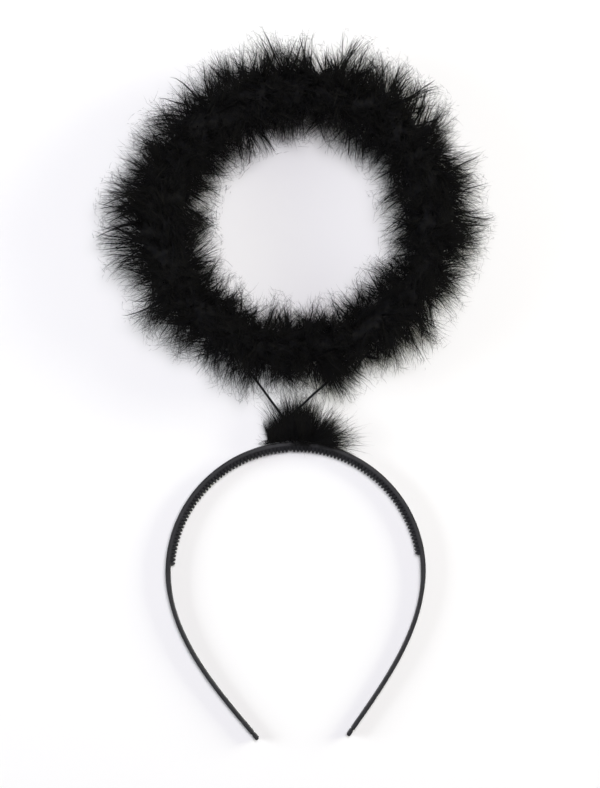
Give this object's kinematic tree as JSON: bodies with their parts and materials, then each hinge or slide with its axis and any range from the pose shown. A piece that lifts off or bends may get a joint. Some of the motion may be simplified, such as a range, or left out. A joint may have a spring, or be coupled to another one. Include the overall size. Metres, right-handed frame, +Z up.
{
  "type": "angel halo headband",
  "caption": "Costume headband with a fluffy black feather halo held over the crown on a bent wire, a feather tuft at its base and a comb of teeth inside the plastic band.",
  "frame": {"origin": "crown of the headband, in the middle of its wall, on the lower edge that it rests on", "axes": "+Y from the headband to the halo, +Z up from the table, +X to the right"},
  "size_m": [0.1867, 0.3461, 0.041],
  "materials": {
    "moulded_plastic": "black moulded plastic with a soft sheen",
    "coated_wire": "steel wire in a thin black coat",
    "marabou": "dyed black marabou down, soft and matt"
  },
  "bodies": {
    "root": {"headband": "moulded_plastic", "halo_wire": "coated_wire", "halo_marabou": "marabou", "base_tuft": "marabou"}
  },
  "joints": []
}
